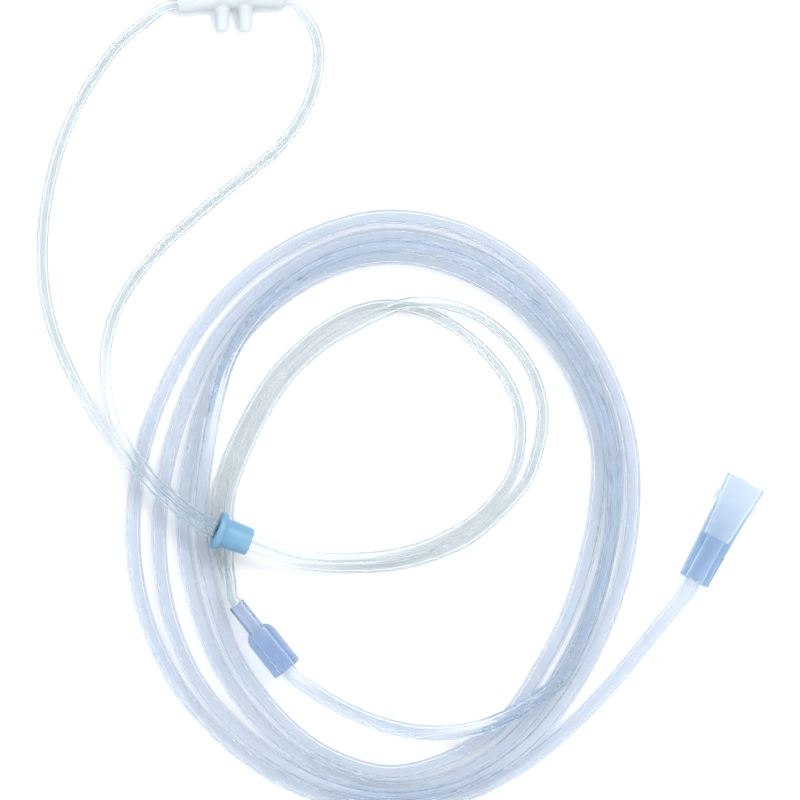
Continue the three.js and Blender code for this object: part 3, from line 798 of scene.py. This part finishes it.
form = bmesh.new()
half = pair_spacing / 2
bore_r = bore_width / 2
body_r = slider_end_r + SLIDER_TAPER
lathe(form, flange_face, slider_axis, lean_up, lean_side, [
    (0, bore_r + 0.25, half), (0, 4.6, 0), (0, flange_r - 0.22, 0), (0.06, flange_r - 0.07, 0),
    (0.2, flange_r, 0), (1.8, flange_r, 0), (1.94, flange_r - 0.07, 0), (2, flange_r - 0.22, 0),
    (2, body_r + 0.14, 0), (2.04, body_r + 0.04, 0), (2.16, body_r, 0), (5, body_r - 0.1, 0),
    (10.6, slider_end_r, 0), (10.9, slider_end_r - 0.06, 0), (11, slider_end_r - 0.2, 0),
    (11, 4.0, 0.1), (11, bore_r + 0.2, half), (10.8, bore_r, half), (0.25, bore_r, half),
])
bmesh.ops.recalc_face_normals(form, faces=form.faces)
# Opaque light blue with a satin skin, slightly uneven from the mould
slider_plastic, tree = new_material("blue_polypropylene")
place = node(tree, "ShaderNodeTexCoord")
grain = node(
    tree, "ShaderNodeTexNoise", {"Scale": 900.0, "Detail": 4.0}, Vector=place.outputs["Object"]
)
shade = node(
    tree, "ShaderNodeTexNoise", {"Scale": 90.0, "Detail": 2.0}, Vector=place.outputs["Object"]
)
hue = node(tree, "ShaderNodeValToRGB", Fac=shade.outputs["Fac"])
hue.color_ramp.elements[0].position = 0.3
hue.color_ramp.elements[0].color = linear("#6c9cb9")
hue.color_ramp.elements[1].position = 0.7
hue.color_ramp.elements[1].color = linear("#7ba8c3")
skin_bump = node(
    tree, "ShaderNodeBump", {"Strength": 0.12, "Distance": 0.00004}, Height=grain.outputs["Fac"]
)
satin = node(
    tree, "ShaderNodeBsdfPrincipled",
    {"Roughness": 0.38, "Subsurface Weight": 0.15, "Subsurface Scale": 0.002},
    Base_Color=hue.outputs["Color"], Normal=skin_bump.outputs["Normal"],
)
node(tree, "ShaderNodeOutputMaterial", Surface=satin.outputs["BSDF"])
slider = finish_piece("slider_sleeve", form, slider_plastic, crease=40)
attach(slider, "slider")
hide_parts("slider")

# Y connector. A lilac tinted moulding: an oval neck for the two head tubes, a sloping
# shoulder and a round body that the supply tube is pushed into.
form = bmesh.new()
level = Vector((-y_axis.y, y_axis.x, 0)).normalized()
lathe(form, neck_face, y_axis, level, Vector((0, 0, 1)), [
    (0, 2.3, 1.9), (0.12, 2.47, 1.9), (0.4, 2.5, 1.9), (9.6, 2.5, 1.9), (9.9, 2.6, 1.88),
    (10.15, 2.9, 1.7), (10.4, 3.35, 1.35), (10.8, 3.85, 0.9), (11.4, 4.3, 0.48),
    (12.2, 4.62, 0.17),
    (13, 4.77, 0.03), (13.8, 4.8, 0), (25.1, 4.8, 0), (25.45, 4.72, 0), (25.65, 4.5, 0),
    (25.7, 4.3, 0), (25.7, 2.7, 0), (25.5, 2.5, 0), (14, 2.45, 0), (12, 2.3, 0.5),
    (10.5, 1.9, 1.6), (9.5, 1.87, 1.9),
    (0.3, 1.88, 1.9), (0, 2.05, 1.9),
])
bmesh.ops.recalc_face_normals(form, faces=form.faces)
# Lilac blue, deeper where the wall is thick
lilac_pvc = clear_pvc(
    "lilac_tinted_pvc", ("#ebf0fa", "#f0f4fc"), (0.12, 0.25), "#55aad6", 90.0, 0.95, 1.12
)
y_piece = finish_piece("y_connector_piece", form, lilac_pvc, crease=50)
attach(y_piece, "root")
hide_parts("y_connector")

# Supply connector. The same lilac PVC, clearer: a fluted tail over the end of the tube, a
# barrel that widens to a flared soft mouth, and two small lugs to pull it off by.
FLUTES = 20
FLUTE_DEPTH = 0.28
LUG_SIZE = (2.0, 3.0, 2.8)
LUG_REACH = 5.95
LUG_FROM_MOUTH = 7.4
LUG_EDGE = 0.3
form = bmesh.new()
lift_side = Vector((connector_axis.y, -connector_axis.x, 0)).normalized()
lift_up = lift_side.cross(connector_axis)
profile = [  # place along the axis, radius, 1 where fluted: the outside, then the socket
    (0, 4.5, 0), (0.08, 4.72, 0), (0.3, 4.84, 0), (0.7, 4.86, 1), (1.2, 4.86, 1), (10.3, 5.06, 1),
    (10.9, 5.06, 0), (11.2, 5.04, 0), (11.3, 4.92, 0), (11.4, 5.0, 0), (11.55, 5.15, 0),
    (12, 5.18, 0), (16, 5.3, 0), (25.1, 5.6, 0), (26.6, 5.72, 0), (29, 5.95, 0), (32, 6.26, 0),
    (34, 6.42, 0), (34.5, 6.44, 0), (34.66, 6.34, 0), (34.7, 6.15, 0), (34.7, 5.6, 0),
    (34.5, 5.4, 0), (33, 5.2, 0), (29, 4.95, 0), (25.1, 4.6, 0), (15.1, 3.9, 0), (14.8, 3.6, 0),
    (14.7, 2.7, 0), (14.4, 2.6, 0), (2.8, 2.6, 0), (0.3, 2.6, 0), (0, 2.8, 0),
]
count = 4 * FLUTES
rows = []
for along, radius, fluted in profile:
    ring = []
    for index in range(count):
        angle = 2 * pi * index / count
        r = radius - (FLUTE_DEPTH * (0.5 - 0.5 * cos(FLUTES * angle)) if fluted else 0)
        centre = tail_face + connector_axis * along
        ring.append(centre + lift_side * (r * cos(angle)) + lift_up * (r * sin(angle)))
    rows.append(ring)
skin(form, rows + rows[:1])
for side in (-1, 1):
    from_tail = connector_length - LUG_FROM_MOUTH
    centre = tail_face + connector_axis * from_tail + lift_side * (side * LUG_REACH)
    turn = Matrix((lift_side, connector_axis, lift_up)).transposed().to_4x4()
    lug = bmesh.ops.create_cube(
        form, size=1,
        matrix=Matrix.Translation(centre) @ turn @ Matrix.Diagonal((*LUG_SIZE, 1)),
    )
    edges = {e for v in lug["verts"] for e in v.link_edges}
    bmesh.ops.bevel(
        form, geom=list(edges), offset=LUG_EDGE, segments=3, profile=0.5, affect="EDGES",
        material=-1,
    )
bmesh.ops.recalc_face_normals(form, faces=form.faces)
# Clearer than the Y connector, bluest along the thick tail
connector_pvc = clear_pvc(
    "lilac_connector_pvc", ("#fafcff", "#fcfdff"), (0.04, 0.1), "#55aad6", 110.0, 1.0, 1.1
)
connector = finish_piece("supply_connector_piece", form, connector_pvc, crease=50)
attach(connector, "root")
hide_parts("supply_connector")
cord_of(
    supply_tube, "supply_tube_pvc", supply_line, SUPPLY_TUBE_OD, SUPPLY_LENGTH,
    far_end="connector", stiffness="medium", lay="coiled", with_pieces=(connector,),
)
